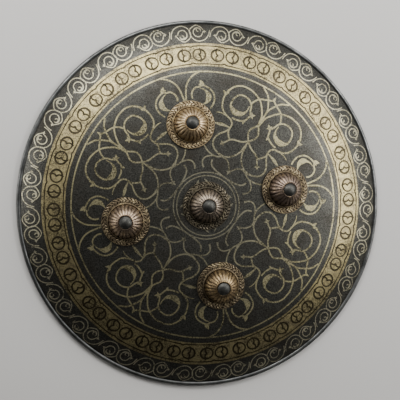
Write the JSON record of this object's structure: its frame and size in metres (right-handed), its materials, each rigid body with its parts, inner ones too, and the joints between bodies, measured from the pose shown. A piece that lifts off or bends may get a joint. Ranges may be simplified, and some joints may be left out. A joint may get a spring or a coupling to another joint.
{
  "type": "round shield",
  "caption": "Round domed steel hand shield with a rolled rim, fluted bosses on the face and strap rings behind, decorated with gold scrollwork.",
  "frame": {"origin": "centre of the plane that the rim rests on", "axes": "+Z along the shield's axis, out of the domed face; the four outer bosses stand on +X (right), +Y (top), -X (left) and -Y (bottom)"},
  "size_m": [0.3998, 0.3998, 0.0678],
  "materials": {
    "plate_steel": "dark browned steel with worn gold damascening",
    "gilt_copper": "worn gilt copper with a brown patina",
    "forged_iron": "dark forged iron"
  },
  "bodies": {
    "root": {"shield_plate": "plate_steel", "boss_centre": "gilt_copper", "boss_right": "gilt_copper", "boss_top": "gilt_copper", "boss_left": "gilt_copper", "boss_bottom": "gilt_copper", "rivet_centre": "forged_iron", "ring_bolt_right": "forged_iron", "ring_bolt_top": "forged_iron", "ring_bolt_left": "forged_iron", "ring_bolt_bottom": "forged_iron", "rove_centre": "forged_iron", "rove_right": "forged_iron", "rove_top": "forged_iron", "rove_left": "forged_iron", "rove_bottom": "forged_iron", "strap_ring_right": "forged_iron", "strap_ring_top": "forged_iron", "strap_ring_left": "forged_iron", "strap_ring_bottom": "forged_iron"}
  },
  "joints": []
}
